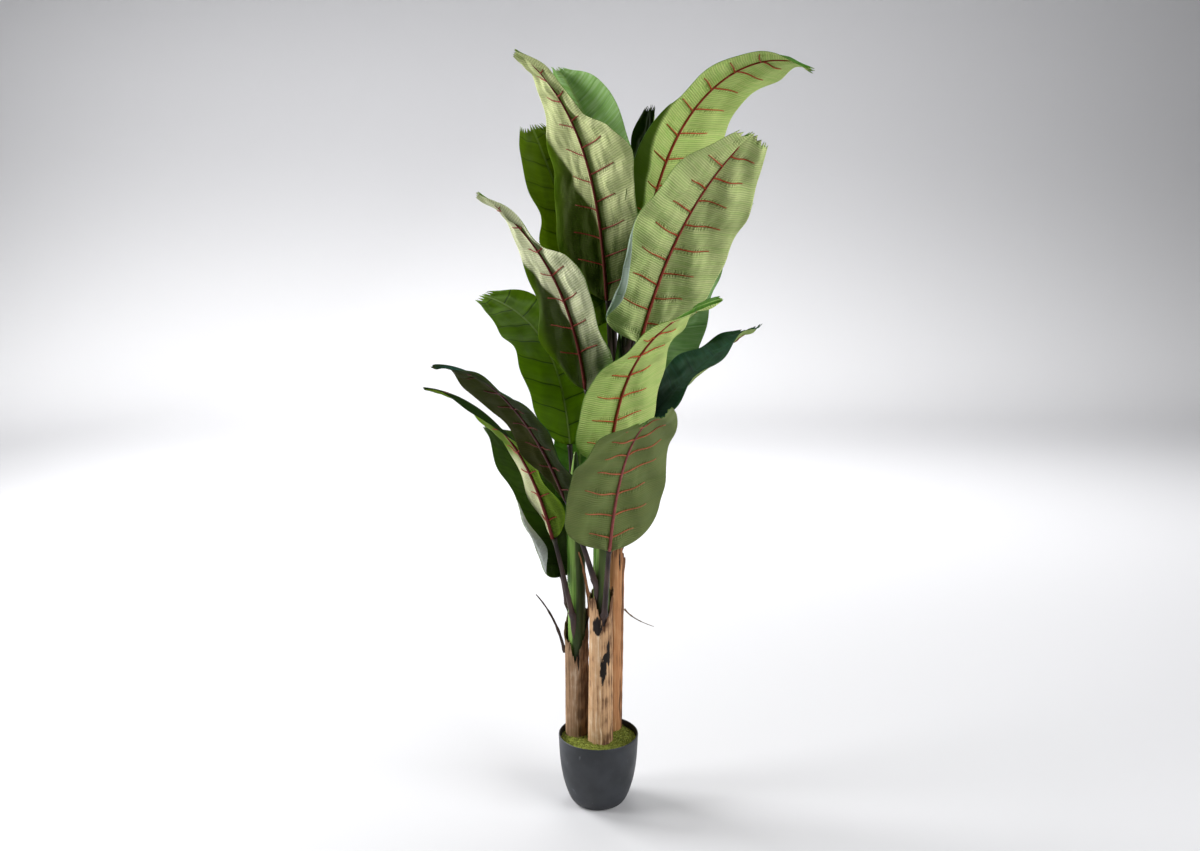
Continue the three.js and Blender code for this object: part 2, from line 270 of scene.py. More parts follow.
leafShape = {
    "clear": 0.3, "stalkFoot": 7.0, "stalkHead": 5.5,  # the stalk's gap, and its radius at stem and blade
    "across": 66, "along": 132, "crowd": 1.25, "thick": 1.1, "lineSteps": 240, "draws": 30,  # the sheet
    "neckShare": 0.08, "taper": 1.9, "swayRates": (0.31, 0.57), "swellAt": 0.1, "swellWide": 0.08,
    "toothColumns": 6, "nick": 0.45, "drawnIn": 8.0, "rounded": 5.0,  # the frayed tip
    "wave": 6.0, "waves": 2.5, "ruffle": 3.4, "rollMost": 2.7, "creaseSoft": 0.07,  # margins and folds
    "puff": 5.0, "pleat": 1.1, "pleatStep": 27.0, "pleatBand": (0.42, 0.26),  # how the cloth hangs
    "drape": 2.4, "drapes": (1.15, 3.1), "keelWide": 11.0,
    "veinPitch": 64.0, "veinLean": 17.0, "veinReach": (0.52, 0.7), "veinSpan": (0.05, 0.9),
    "veinMost": 13, "veinBow": 5.0, "veinRadius": 1.7, "veinSunk": 0.75, "veinRings": 12, "veinSides": 6,
    "ribRadius": (4.3, 1.5), "ribEnd": 0.93, "ribSunk": 0.8, "ribRings": 56, "ribSides": 10,
}
# what a leaf has where its own lines below say nothing
leafUsual = dict(
    tint="plain", swing=0, roll=(0, 0), fold=(12, 12), curl=(20, 20), shoulder=(0.2, 0.2), full=0.55,
    share=(1, 1), sway=0.02, tipShare=0.22, tooth=15.0, cut=1, puff=1, pleat=1, drape=1, keel=2.5, steps=[],
    baseShade=0, ribShade=2, shadedTip=2,  # no shade: there is no half 2, and 2 is past the tip
)

# Per leaf, first the CAD's sizes: where it sits on its stem, its lengths, its slope from lift to tip, and
# its turns in degrees. A pair is for the two halves, roll's for base and tip. Then how its cloth hangs.
# steps are (half, place, narrower, wider) where a margin narrows quickly and how it swells before that.
# crease is a fold from a place on the midrib to one on the margin, flap is one whose outer side alone leans
# otherwise, edgeRoll is a margin that has turned over. dim is where the cloth outside such a line is painted
# dark, as painted shade. baseShade, ribShade, shadedHalf and shadedTip paint shade on the base, the midrib's
# side, a half and the tip. cut leaves off the end, and tooth is how deep that end is frayed.
leaves = {
    "back_1": dict(
        tint="pale", rise=1060, heading=229, stalk=195, blade=621, width=240, lift=86, tip=32, bend=2.55,
        swing=-25, roll=(2, 8), fold=(-4, -16), foldTip=(-4, 4), curl=(20, -24), shoulder=(0.2, 0.32),
        puff=1.5, pleat=1.7, keel=9, steps=[(0, 0.67, 0.6, 0.24)], crease=(1, 0.26, 0.64, -10, -34),
        baseShade=0.8, ribShade=0, tipShare=0.12, tooth=6),
    "back_2": dict(
        tint="leafy", rise=1000, heading=146, stalk=190, blade=520, width=174, lift=79, tip=55, bend=1.4,
        swing=-17, roll=(13, 4), fold=(-5, 12), full=0.7, sway=0.006, tipShare=0.45,
        steps=[(0, 0.52, 0.0, 0.28)]),
    "back_3": dict(
        tint="fresh", rise=1060, heading=105, stalk=190, blade=655, width=200, lift=85, tip=36, bend=1.6,
        swing=23, roll=(26, 7), fold=(12, 34)),
    "back_4": dict(
        tint="night", rise=1085, heading=76, seat=70, stalk=223, blade=429, width=92, lift=73, tip=71,
        bend=1.5, swing=-20, roll=(27, 15), fold=(-5, 4), shoulder=(0.3, 0.3), tipShare=0.5),
    "back_5": dict(
        tint="bright", rise=1140, heading=-31, stalk=207, blade=670, width=264, lift=81, tip=-28,
        bend=2.94, swing=2, roll=(44, 38), fold=(7, -48), foldTip=(24, -18), curl=(5, -25),
        shoulder=(0.4, 0.56), full=0.47, pleat=0.6, dim=(1, -0.12, 0.6),
        steps=[(0, 0.93, 0.0, 0.34), (0, 0.76, 0.0, -0.1)], flap=(1, -0.12, 0.6, -14)),
    "back_6": dict(
        tint="silk", rise=990, heading=-44, stalk=175, blade=565, width=252, lift=76, tip=37, bend=1.6,
        swing=4, roll=(27, 8), fold=(-38, -9), shoulder=(0.42, 0.2), puff=1.4, pleat=1.7, drape=2.2,
        sway=0.012, edgeRoll=(1, 0.0, 0.66, 30, 6), tipShare=0.4, tooth=10),
    "back_7": dict(
        tint="mist", rise=832, heading=52, seat=68, stalk=226, blade=542, width=204, lift=65, tip=42,
        bend=1.61, swing=-39, roll=(-10, 15), fold=(12, -48), foldTip=(12, 8)),
    "back_8": dict(
        tint="deep", rise=860, heading=2, stalk=97, blade=372, width=160, lift=72, tip=22, bend=0.75,
        swing=39, roll=(-26, 20), fold=(4, 0), shoulder=(0.34, 0.34), tipShare=0.45, baseShade=0.8),
    "back_9": dict(
        tint="lime", rise=830, heading=152, stalk=190, blade=400, width=180, lift=84, tip=50, bend=1.5,
        swing=-10),
    "back_10": dict(
        rise=1084, heading=38, seat=26, stalk=196, blade=485, width=120, lift=78, tip=40, bend=0.9,
        swing=23, roll=(-8, 0), fold=(0, 12), shoulder=(0.3, 0.3)),
    "back_11": dict(rise=500, heading=86, stalk=130, blade=400, width=160, lift=80, tip=30, bend=1.4),
    "back_12": dict(rise=640, heading=56, stalk=150, blade=430, width=170, lift=79, tip=30, bend=1.3),
    "front_1": dict(
        tint="bright", rise=748, heading=-71, stalk=140, blade=550, width=216, lift=84, tip=17, bend=1.4,
        swing=49, roll=(-3, -8), fold=(-9, -16), tipShare=0.1, tooth=6),
    "front_2": dict(
        tint="olive", rise=508, heading=-75, stalk=177, blade=528, width=240, lift=78, tip=14, bend=1.9,
        swing=7, roll=(3, -16), fold=(-4, -13), pleat=0.5, drape=1.7, sway=0.01, tipShare=0.05, cut=0.9,
        tooth=10),
    "front_3": dict(
        tint="cream", rise=868, heading=213, stalk=188, blade=529, width=188, lift=87, tip=32, bend=1.75,
        swing=-20, roll=(-13, 0), fold=(-10, -20), foldTip=(-10, 4), curl=(20, -24), shoulder=(0.2, 0.36),
        puff=1.4, pleat=1.5, keel=8, steps=[(0, 0.635, 0.64, 0.28)], crease=(1, 0.28, 0.62, -10, -34),
        baseShade=0.85, ribShade=0, tipShare=0.12, tooth=6),
    "front_4": dict(
        tint="dusk", rise=592, heading=224, seat=229, stalk=233, blade=572, width=186, lift=69, tip=6,
        bend=2.11, swing=16, roll=(6, 5), fold=(-23, -16), foldTip=(-23, -18), curl=(20, 0),
        shoulder=(0.2, 0.5), share=(1, 0.8), puff=1.3, keel=4, shadedHalf=0, tipShare=0.1, tooth=6),
    "left_1": dict(
        tint="lime", rise=700, heading=105, stalk=200, blade=490, width=205, lift=87, tip=14, bend=1.5,
        swing=60, roll=(-20, 30), fold=(-5, -12), full=0.62, sway=0.03, tipShare=0.36),
    "left_2": dict(
        tint="strip", rise=494, heading=210, seat=248, stalk=203, blade=518, width=160, lift=77, tip=9,
        bend=2.65, swing=-14, roll=(0, -12), fold=(46, -2), foldTip=(-62, -10), curl=(0, 10),
        share=(0.56, 1), puff=0.6, shadedHalf=0, shadedTip=0.42, tipShare=0.1, tooth=6),
    "left_3": dict(
        tint="moody", rise=506, heading=145, stalk=66, blade=432, width=194, lift=80, tip=33, bend=1.07,
        swing=-9, roll=(14, -8), fold=(8, 12), shoulder=(0.2, 0.42), share=(1.07, 1),
        edgeRoll=(-1, 0.0, 0.58, 30, -4), baseShade=0.85),
    "left_4": dict(
        rise=572, heading=92, seat=70, stalk=128, blade=345, width=136, lift=83, tip=42, bend=1.4),
}

# Cloth colours: each tint changes some of the plain one's. The leaves are one cloth, so where a tint is
# paler or darker than the plain one, that is painted light or painted shade for where the leaf stands. dim
# is the cloth in shadow and rim how much of its margin stays lit, gloom is how far the upper side darkens
# there, turn is the pale colour of a turned-over margin, a painted reflection of its glossy side. sheen is
# the paler streaks on the upper side, a painted sheen. gloss is the shader's sheen and seam the midrib's
# line on the upper side, where they differ. How far the upper side and its glow darken along the veins is a
# painted shadow of the ribs under the cloth.
plainTint = dict(
    under="b6c07c", streak="9cb668", upper="3a6424", sheen="4d7a34", glow="a8d020", rib="7a2c22",
    dim="28310a", rim=1.0, gloom=0.0, turn="b9c6c0", wrinkle=2.5, veinShade=0.2,
)
leafTints = {
    "plain": {},
    "silk": dict(under="ced896", streak="b6d080", wrinkle=6.0),
    "pale": dict(
        under="d4d9a0", streak="c2cc8c", upper="43701f", sheen="587f2c", glow="b4d010", rib="641f1a",
        dim="303c05", wrinkle=11.0),
    "cream": dict(
        under="e8eac2", streak="d8deac", upper="43701f", sheen="587f2c", glow="b4d010", rib="641f1a",
        dim="222b05", wrinkle=11.0),
    "bright": dict(
        under="d4e290", streak="b0d674", upper="3f6e28", sheen="548438", glow="b6d826", rib="883220",
        dim="1c2806", rim=0.0),
    "olive": dict(
        under="7c8654", streak="6c804c", upper="3d6a2c", sheen="51803a", glow="a0b820", rib="803f3a"),
    "dusk": dict(
        under="383616", streak="2c300f", upper="1d4038", sheen="2c564a", glow="7a960e", rib="42130f",
        dim="22290f", gloss=0.04, rim=0.6),
    "strip": dict(
        under="e2e4b8", streak="d2d79e", upper="36561e", sheen="48662c", glow="a4be0c", rib="6c211d",
        dim="5c7a06", gloss=0.04, rim=0.3, gloom=1.0),
    "deep": dict(
        under="9db06c", streak="8aa45c", upper="1b3f2a", sheen="2b5540", glow="7fa31a", seam="1f4a2c",
        gloom=1.0),
    "night": dict(
        under="9db06c", streak="8aa45c", upper="1c2a08", sheen="26360c", glow="5d7a10", seam="24340c",
        gloss=0.03),
    # moody's near-white turn is a painted highlight on its rolled margin
    "moody": dict(
        under="9db06c", streak="8aa45c", upper="3e5220", sheen="4e642e", glow="7fa31a", seam="3a4e1e",
        gloom=1.0, turn="f2f8f4"),
    "fresh": dict(upper="8cb868", sheen="b4d296"),
    "mist": dict(upper="6a9458", sheen="8cac74"),
    "lime": dict(
        under="a8b870", streak="93ac60", upper="46620a", sheen="567610", glow="b0d008", veinShade=0.65),
    "leafy": dict(
        under="a8b870", streak="93ac60", upper="4e660e", sheen="5e7818", glow="acc410", veinShade=0.4),
}


def leafFrame(leaf, s):
    slope = np.radians(lerp(leaf["lift"], leaf["tip"], s ** leaf["bend"]))
    turn = np.radians(leaf["heading"] + leaf["swing"] * s * s)
    flat = np.cos(slope)
    along = np.stack([flat * np.cos(turn), flat * np.sin(turn), np.sin(slope)], -1)
    across = np.stack([np.sin(turn), -np.cos(turn), 0 * turn], -1)
    return along, across, np.cross(across, along)


def leafLine(stem, leaf):
    # points along the leaf's middle, from its seat on the stem to its tip
    steps = leafShape["lineSteps"]
    x, y, radius = stemAt(stem, leaf["rise"])
    off = radius + leafShape["clear"] + leafShape["stalkFoot"] * math.sin(math.radians(leaf["lift"]))
    start = roundPlaces(x, y, off, math.radians(leaf["seat"]), leaf["rise"])
    along = leafFrame(leaf, (np.arange(steps) + 0.5) / steps)[0]
    return np.vstack([start, start + np.cumsum(along, 0) * (leaf["length"] / steps)])


def onLine(leaf, s):
    inside = np.clip(s, 0, 1)
    rows = np.arange(len(leaf["line"]))
    at = np.stack([np.interp(inside * rows[-1], rows, leaf["line"][:, k]) for k in range(3)], -1)
    return at + leafFrame(leaf, inside)[0] * ((s - inside) * leaf["length"])[:, None]


def bladeHalf(leaf, t, u):
    # half the blade's width at share t of its length, on u's side of the midrib
    side = (u > 0).astype(int)
    shoulder = np.array(leaf["shoulder"])[side]
    rising = np.sqrt(np.clip(1 - (1 - t / shoulder) ** 2, 0, 1))
    past = np.clip(t - leaf["full"], 0, None) / (1 - leaf["full"])
    shape = np.where(t < shoulder, rising, 1 - (1 - leaf["tipShare"]) * past ** leafShape["taper"])
    turns = 2 * np.pi * (leaf["blade"] * t / leafShape["veinPitch"])
    slow, quick = leafShape["swayRates"]
    phase = leaf["phase"][side]
    drift = np.sin(turns * slow + phase) + 0.6 * np.sin(turns * quick + 2 * phase)
    shape = shape * (1 + leaf["sway"] * drift * np.clip(4 * t, 0, 1))
    for half, place, narrow, swell in leaf["steps"]:
        beyond = narrow * ease(place - 0.02, place + 0.03, t)
        swollen = swell * bell(t, place - leafShape["swellAt"], leafShape["swellWide"])
        shape = shape * (1 - (beyond - swollen) * (side == half))
    share = np.array(leaf["share"])[side]
    return share * leaf["width"] / 2 * np.maximum(shape, leafShape["neckShare"])


def veinCount(leaf, t, u, side):
    lean = math.tan(math.radians(leafShape["veinLean"])) * np.abs(u) * bladeHalf(leaf, t, u)
    return (leaf["blade"] * t - lean) / leafShape["veinPitch"] + leaf["offset"][side]


def clothRelief(leaf, t, u, side, half):
    # how far the cloth stands off its smooth sheet, towards the upper side
    shape = leafShape
    a = np.abs(u)
    run = a * half  # from the midrib
    phase = leaf["phase"][side]
    count = veinCount(leaf, t, u, side)
    cell = np.floor(count).astype(int)
    draw = leaf["draws"][side, np.clip(cell + 2, 0, shape["draws"] - 1)]
    arch = np.sin(np.pi * (count - cell))  # from one vein to the next
    swell = shape["puff"] * leaf["puff"] * (0.25 + draw[:, 0]) * arch ** 1.4
    relief = -swell * np.sin(np.pi * np.clip(a / 1.03, 0, 1))
    pleats = np.sin(2 * np.pi * (run / shape["pleatStep"] + draw[:, 2]))
    band = bell(a, *shape["pleatBand"]) * ease(0.02, 0.15, a)
    relief += shape["pleat"] * leaf["pleat"] * draw[:, 1] * arch * band * pleats
    out, up = shape["drapes"]
    folds = np.sin(2 * np.pi * (out * a + up * t) + phase)
    relief += shape["drape"] * leaf["drape"] * folds * np.sin(np.pi * np.clip(a, 0, 1))
    relief += shape["ruffle"] * a ** 5 * np.sin(2 * np.pi * count * 0.47 + phase)
    keel = leaf["keel"] * ease(0, 0.1, t) * (1 - ease(0.75, 0.95, t))
    return relief + keel * (1 - bell(run, 0, shape["keelWide"]))


def lineAt(t, start, end, most=1.2):
    # how far out a line from the midrib at start to the margin at end has come
    return np.clip((t - start) / (end - start), 0, most)


def turnEdge(leaf, t, u, half):
    # where a turned-over margin begins, and how far its cloth has gone round since, as run and angle
    a = np.abs(u)
    if "edgeRoll" not in leaf:
        return a, 0 * a, 0 * a, 1.0
    rolled, start, end, width, radius = leaf["edgeRoll"]
    weight = ease(start, start + 0.2, t) * (1 - ease(end - 0.42, end, t)) * (np.sign(u) == rolled)
    inner = np.clip(1 - width * weight / half, 0, 1)
    reach = np.minimum(a, inner)
    beyond = (a - reach) * half
    angle = np.minimum(beyond / abs(radius), leafShape["rollMost"])
    return reach, beyond - angle * abs(radius), angle, float(radius)


def leafSheet(leaf, t, u):
    # places at share t of the blade's length and u from margin to margin, and the way its upper side faces
    half = bladeHalf(leaf, t, u)
    side = (u > 0).astype(int)
    a = np.abs(u)
    curl = np.radians(np.array(leaf["curl"])[side]) + 0.002  # never quite straight
    fold = np.radians(lerp(np.array(leaf["fold"])[side], np.array(leaf["foldTip"])[side], t))
    reach, flat, angle, radius = turnEdge(leaf, t, u, half)
    past, lean = 0 * reach, 0.0
    if "flap" in leaf:
        flapped, start, end, lean = leaf["flap"]
        lean = math.radians(lean)
        past = np.where(side == flapped, np.clip(reach - lineAt(t, start, end, 1), 0, None), 0)
    inner = reach - past
    out = half / curl * (np.sin(fold + curl * inner) - np.sin(fold)) + half * past * math.cos(lean)
    up = half / curl * (np.cos(fold) - np.cos(fold + curl * inner)) + half * past * math.sin(lean)
    tilt = np.where(past > 0, lean, fold + curl * reach)
    if "crease" in leaf:
        creased, start, end, inner, outer = leaf["crease"]
        inner, outer = math.radians(inner), math.radians(outer)
        place = lineAt(t, start, end)
        soft = leafShape["creaseSoft"]
        past = (a - place + np.hypot(a - place, soft) + place - np.hypot(place, soft)) / 2
        before = a - past
        on = side == creased
        out = np.where(on, half * (before * math.cos(inner) + past * math.cos(outer)), out)
        up = np.where(on, half * (before * math.sin(inner) + past * math.sin(outer)), up)
        tilt = np.where(on, lerp(inner, outer, ease(-0.08, 0.08, a - place)), tilt)
    up = up + clothRelief(leaf, t, u, side, half)
    up += leafShape["wave"] * u * u * np.sin(2 * np.pi * leafShape["waves"] * t + 1.3 * side)
    turned = tilt - np.sign(radius) * angle
    out += radius * (np.sin(tilt) - np.sin(turned)) + flat * np.cos(turned)
    up += radius * (np.cos(turned) - np.cos(tilt)) + flat * np.sin(turned)
    s = (leaf["stalk"] + leaf["blade"] * t) / leaf["length"]
    across, above = leafFrame(leaf, np.clip(s, 0, 1))[1:]
    roll = np.radians(lerp(*leaf["roll"], t))[:, None]
    sideways = across * np.cos(roll) + above * np.sin(roll)
    face = above * np.cos(roll) - across * np.sin(roll)
    at = onLine(leaf, s) + sideways * (out * np.sign(u))[:, None] + face * up[:, None]
    normal = face * np.cos(tilt)[:, None] - sideways * (np.sin(tilt) * np.sign(u))[:, None]
    return at, normal


# Painted shadows that the cloth has in its colour, each with its strength and the run over which it fades,
# and where a turned-over margin's painted reflection shows
shadeShape = {
    "half": 0.95, "tipSoft": 0.05,  # a half or a tip that faces away
    "base": (0.12, 0.46), "baseRim": (0.72, 0.95), "rimLit": 0.8,  # the base, down in the crown
    "line": 0.97, "lineSoft": (-0.02, 0.07),  # outside a crease or a dim line
    "rib": 0.85, "ribRun": (9, 19), "ribEnd": (0.82, 0.94),  # beside the midrib
    "turned": (0.9, 1.8),  # the turned-over margin's painted reflection shows from here on, in radians
}


def clothShade(leaf, t, u):
    shape = shadeShape
    a = np.abs(u)
    side = u > 0
    if "shadedHalf" in leaf:
        beyond = ease(-shape["tipSoft"], shape["tipSoft"], t - leaf["shadedTip"])
        return shape["half"] * np.maximum(side == leaf["shadedHalf"], beyond)
    base = leaf["baseShade"] * (1 - ease(*shape["base"], t))
    base = base * (1 - shape["rimLit"] * ease(*shape["baseRim"], a))
    if "crease" not in leaf and "dim" not in leaf:
        return base
    half, start, end = leaf.get("dim", leaf.get("crease"))[:3]
    shade = shape["line"] * ease(*shape["lineSoft"], a - lineAt(t, start, end)) * (side == half)
    run = a * bladeHalf(leaf, t, u)
    beside = shape["rib"] * (1 - ease(*shape["ribRun"], run)) * (1 - ease(*shape["ribEnd"], t))
    return np.maximum(np.maximum(shade, beside * (side == leaf["ribShade"])), base)


def clothNodes(tree):
    # the sheet's own coordinates: across in vein pitches, the vein count along, how far from halfway between
    # two veins, and midrib to margin as 0 to 1
    vein = addNode(tree, "UVMap", {}, uv_map="vein").outputs[0]
    pitches = addNode(tree, "SeparateXYZ", {0: vein})
    x, count = pitches.outputs[0], pitches.outputs[1]
    sheet = addNode(tree, "SeparateXYZ", {0: addNode(tree, "UVMap", {}, uv_map="UVMap").outputs[0]})
    margin = calc("ABSOLUTE", times(sheet.outputs[0], 2.0, -1.0))
    fromVein = calc("ABSOLUTE", calc("SUBTRACT", calc("FRACT", count), 0.5))
    return vein, x, count, fromVein, margin


def sineLines(value, rate, wander, drift):
    return calc("SINE", times(wander, drift, times(value, rate)))


def clothShader(shader, colour, glow, share):
    tree = shader.id_data
    colourInto(shader, colour)
    through = addNode(tree, "BsdfTranslucent", {"Color": glow})
    mixed = addNode(tree, "MixShader", {0: share, 1: shader.outputs[0], 2: through.outputs[0]})
    tree.links.new(mixed.outputs[0], tree.nodes["Material Output"].inputs["Surface"])


def makeUnderside(name, tint):
    material, tree, shader = newMaterial("underside_" + name, 0.62, tint.get("gloss", 0.05))
    vein, x, count, fromVein, margin = clothNodes(tree)
    nearVein = times(ramp(fromVein, 0.27, 0.44), ramp(margin, 0.4, 0.62, 1.0, 0.0))
    wander = noise(vein, 5.0)
    gather = sineLines(x, 60.0, wander, 11.0)
    uneven = spots(vein, 4.0, 2.0, 0.34, 0.6, (2.2, 1.0, 1.0))
    pucker = times(gather, times(nearVein, uneven))
    lines = sineLines(count, 76.0, wander, 2.5)
    streaks = spots(vein, 1.5, 5.0, 0.4, 0.66, (0.55, 6.0, 1.0))
    patches = spots(objectPlace(tree), 7.0, 4.0, 0.38, 0.66)
    under, streak, dim = (paint(tint[key]) for key in ("under", "streak", "dim"))
    deep = toned(streak, 0.24)
    colour = mixColour(streaks, under, streak, 0.6)
    colour = mixColour(patches, colour, toned(under, 0.72), 0.4)
    # the corrugation lines and the puckers by the veins are painted darker, as painted shade in their folds,
    # besides their bump
    colour = mixColour(calc("MAXIMUM", lines, 0.0), colour, deep, 0.38)
    colour = mixColour(calc("MAXIMUM", pucker, 0.0), colour, deep, 0.6)
    # painted shade where the cloth faces away or lies in shadow, its margin painted lit by the rim share
    shade = readTone(tree, "shade")
    edge = ramp(margin, 0.74, 0.98, 0.0, tint["rim"])
    colour = mixColour(shade, colour, mixColour(edge, dim, toned(dim, 3.2)))
    # a turned-over margin is painted pale, a painted reflection of its glossy side
    colour = mixColour(readTone(tree, "turn"), colour, paint(tint["turn"]))
    weave = noise(objectPlace(tree), 900.0, 1.0)
    height = times(lines, 0.3, times(weave, 0.12, pucker))
    folds = noise(vein, 1.4, 0.6, (2.0, 0.8, 1.0))
    bumpInto(shader, times(folds, tint["wrinkle"], height), 0.0012)
    through = times(times(shade, edge), 0.4, 0.22)
    clothShader(shader, colour, paint(tint["glow"]), through)
    return material


def makeUpper(name, tint):
    material, tree, shader = newMaterial("upper_" + name, 0.58, tint.get("gloss", 0.09))
    vein, x, count, fromVein = clothNodes(tree)[:4]
    veinLine = ramp(fromVein, 0.458, 0.49)
    midrib = ramp(calc("ABSOLUTE", x), 0.035, 0.055, 1.0, 0.0)
    lines = sineLines(count, 90.0, noise(vein, 5.0), 2.5)
    streaks = spots(vein, 1.6, 5.0, 0.38, 0.68, (0.5, 5.0, 1.0))
    patches = spots(objectPlace(tree), 6.0, 4.0, 0.42, 0.68)
    upper, sheen, glow, turn = (paint(tint[key]) for key in ("upper", "sheen", "glow", "turn"))
    dark = toned(upper, 0.4)
    colour = mixColour(streaks, upper, sheen)
    colour = mixColour(patches, colour, dark, 0.5)
    # the upper side is painted darker along the veins, and so is its glow below, a painted shadow of the
    # ribs under the cloth
    colour = mixColour(veinLine, colour, dark, tint["veinShade"])
    colour = mixColour(midrib, colour, paint(tint.get("seam", tint["streak"])), 0.6)
    # a turned-over margin is painted pale, a painted reflection of its glossy side
    colour = mixColour(readTone(tree, "turn"), colour, turn)
    raised = times(lines, 0.14, times(veinLine, -0.8))
    bumpInto(shader, times(midrib, 1.6, raised), 0.0009)
    glow = mixColour(veinLine, glow, dark, tint["veinShade"])
    # painted shade on the upper side where the cloth lies in shade, in its colour and its glow
    gloom = times(readTone(tree, "shade"), tint["gloom"])
    clothShader(shader, mixColour(gloom, colour, dark), mixColour(gloom, glow, dark), 0.3)
    return material


def veinTone(code):
    red, green, blue, _ = paint(code)
    return (min(1, 1.6 * red), min(1, 1.9 * green), min(1, 0.85 * blue), 1.0)


def makeRibPaint(name, tone):
    worn = (*[min(1.0, 1.7 * c + 0.02) for c in tone[:3]], 1.0)
    layers = [(worn, 0.45, 60.0, 4.0, 0.4, 0.65)]
    return speckled("rib_" + name, 0.5, 0.22, tone, layers, (0.0004, 700.0, 2.0))[0]


def makeBlade(name, leaf, tint):
    shape = leafShape
    blade = startSheet("blade_" + name, shape["across"], shape["along"])
    grid = readPoints(blade)
    u = grid[:, 0]
    row = (grid[:, 1] + 1) / 2
    last = row > 0.999
    tooth = np.rint((u + 1) / 2 * shape["across"]) / shape["toothColumns"]
    saw = np.abs(tooth % 1 - 0.5) * 2
    long = 0.6 + 0.7 * leaf["draws"][0, tooth.astype(int) % shape["draws"], 0]
    fray = np.where(last, leaf["tooth"] * (saw * long - shape["nick"]), 0)
    fray -= ease(0.93, 0.99, row) * (leaf["slant"] * u + shape["rounded"] * u * u)
    fray -= shape["drawnIn"] * ease(0.95, 0.99, row) * ~last
    t = row ** shape["crowd"] * leaf["cut"] + fray / leaf["blade"]
    corners = np.empty(len(blade.data.loops), int)
    blade.data.loops.foreach_get("vertex_index", corners)
    middle = u[corners].reshape(-1, 4).mean(1).repeat(4)  # which half of the leaf a face is on
    count = veinCount(leaf, t[corners], u[corners], (middle > 0).astype(int))
    across = u[corners] * bladeHalf(leaf, t[corners], u[corners]) / shape["veinPitch"]
    veinMap = blade.data.uv_layers.new(name="vein")
    veinMap.data.foreach_set("uv", np.stack([across, count], -1).astype(np.float32).ravel())
    placePoints(blade, leafSheet(leaf, t, u)[0])
    addTone(blade, "shade", clothShade(leaf, t, u))
    # how far a margin has turned over, which sets where its painted reflection shows
    angle = turnEdge(leaf, t, u, bladeHalf(leaf, t, u))[2]
    addTone(blade, "turn", ease(*shadeShape["turned"], angle))
    blade.data.materials.append(makeUpper(name, tint))
    blade.data.materials.append(makeUnderside(name, tint))
    modify(blade, "SOLIDIFY", thickness=shape["thick"] * mm, offset=0, material_offset=1)
    finishPiece(blade, [], "leaf_green", "leaf_" + name)


def rodAlong(at, normal, radius, depth, sides):
    # points and faces of one closed rod along a line on the cloth, sunk by depth
    along = unit(np.gradient(at, axis=0))
    across = unit(np.cross(normal, along))
    turn = 2 * np.pi * np.arange(sides) / sides
    spread = across[:, None] * (radius[:, None] * np.cos(turn))[..., None]
    spread = spread + np.cross(along, across)[:, None] * (radius[:, None] * np.sin(turn))[..., None]
    places = ((at - normal * depth[:, None])[:, None] + spread).reshape(-1, 3)
    last = (len(at) - 1) * sides
    faces = []
    for ring in range(0, last, sides):
        for j in range(sides):
            k = (j + 1) % sides
            faces.append((ring + j, ring + k, ring + sides + k, ring + sides + j))
    faces.append(tuple(range(sides))[::-1])
    faces.append(tuple(range(last, last + sides)))
    return places, faces


def makeRibs(name, leaf, ribPaints):
    shape = leafShape
    end = shape["ribEnd"] * leaf["cut"]
    t = np.linspace(0.0, end, shape["ribRings"])
    roll = np.radians(lerp(*leaf["roll"], t))[:, None]
    across, above = leafFrame(leaf, (leaf["stalk"] + leaf["blade"] * t) / leaf["length"])[1:]
    normal = above * np.cos(roll) - across * np.sin(roll)
    radius = lerp(*shape["ribRadius"], t / end) * np.where(t >= end - 0.01, 0.5, 1)
    depth = shape["thick"] / 2 + radius * shape["ribSunk"]
    parts = [rodAlong(leafSheet(leaf, t, 0 * t)[0], normal, radius, depth, shape["ribSides"])]
    lean = math.tan(math.radians(shape["veinLean"]))
    low, high = shape["veinSpan"]
    for side, sign in ((0, -1), (1, 1)):
        for k in range(1, shape["veinMost"] + 1):
            draw = leaf["draws"][side, (k * 7 + 3) % shape["draws"]]
            start = (k - leaf["offset"][side]) * shape["veinPitch"]
            if not low * leaf["blade"] < start < high * leaf["cut"] * leaf["blade"]:
                continue
            a = np.linspace(0.0, lerp(*shape["veinReach"], draw[0]), shape["veinRings"])
            u = sign * np.maximum(a, 0.001)
            bowed = start + shape["veinBow"] * (draw[1] - 0.5) * np.sin(np.pi * a / a[-1])
            t = bowed / leaf["blade"]
            for _ in range(4):  # how far a vein leans depends on the width where it gets to
                t = (bowed + lean * a * bladeHalf(leaf, t, u)) / leaf["blade"]
            at, normal = leafSheet(leaf, t, u)
            radius = shape["veinRadius"] * lerp(1.15, 0.6, a / a[-1])
            depth = shape["thick"] / 2 + radius * shape["veinSunk"]
            parts.append(rodAlong(at, normal, radius, depth, shape["veinSides"]))
    places, faces, first = [], [], 0
    for at, quads in parts:
        places.append(at)
        faces += [tuple(first + k for k in quad) for quad in quads]
        first += len(at)
    ribs = fromArrays("ribs_" + name, np.vstack(places), faces)
    finishPiece(ribs, ribPaints, "leaf_green", "leaf_" + name)
    tones = np.arange(len(faces)) >= len(parts[0][1])  # the midrib's paint, then the veins'
    ribs.data.polygons.foreach_set("material_index", tones.astype(np.int32))


# Stalks: each runs from a tail that clasps the stem to a sleeve at the blade

stalkShape = {
    "sides": 14, "rings": 44, "footSwell": 1.12, "sleeve": 1.2, "groove": 0.22,
    "tail": 70.0, "tailWide": 8.0, "tailThick": 1.2, "tailEnd": 0.3,
    "finish": dict(
        roughness=0.45, specular=0.3, base="241818", bump=(0.0006, 240.0, 4.0, 0.08),
        layers=[("4a3833", 1.0, 60.0, 5.0, 0.36, 0.68, 0.12), ("5a6a38", 0.35, 16.0, 3.0, 0.56, 0.7, 0.25)]),
}


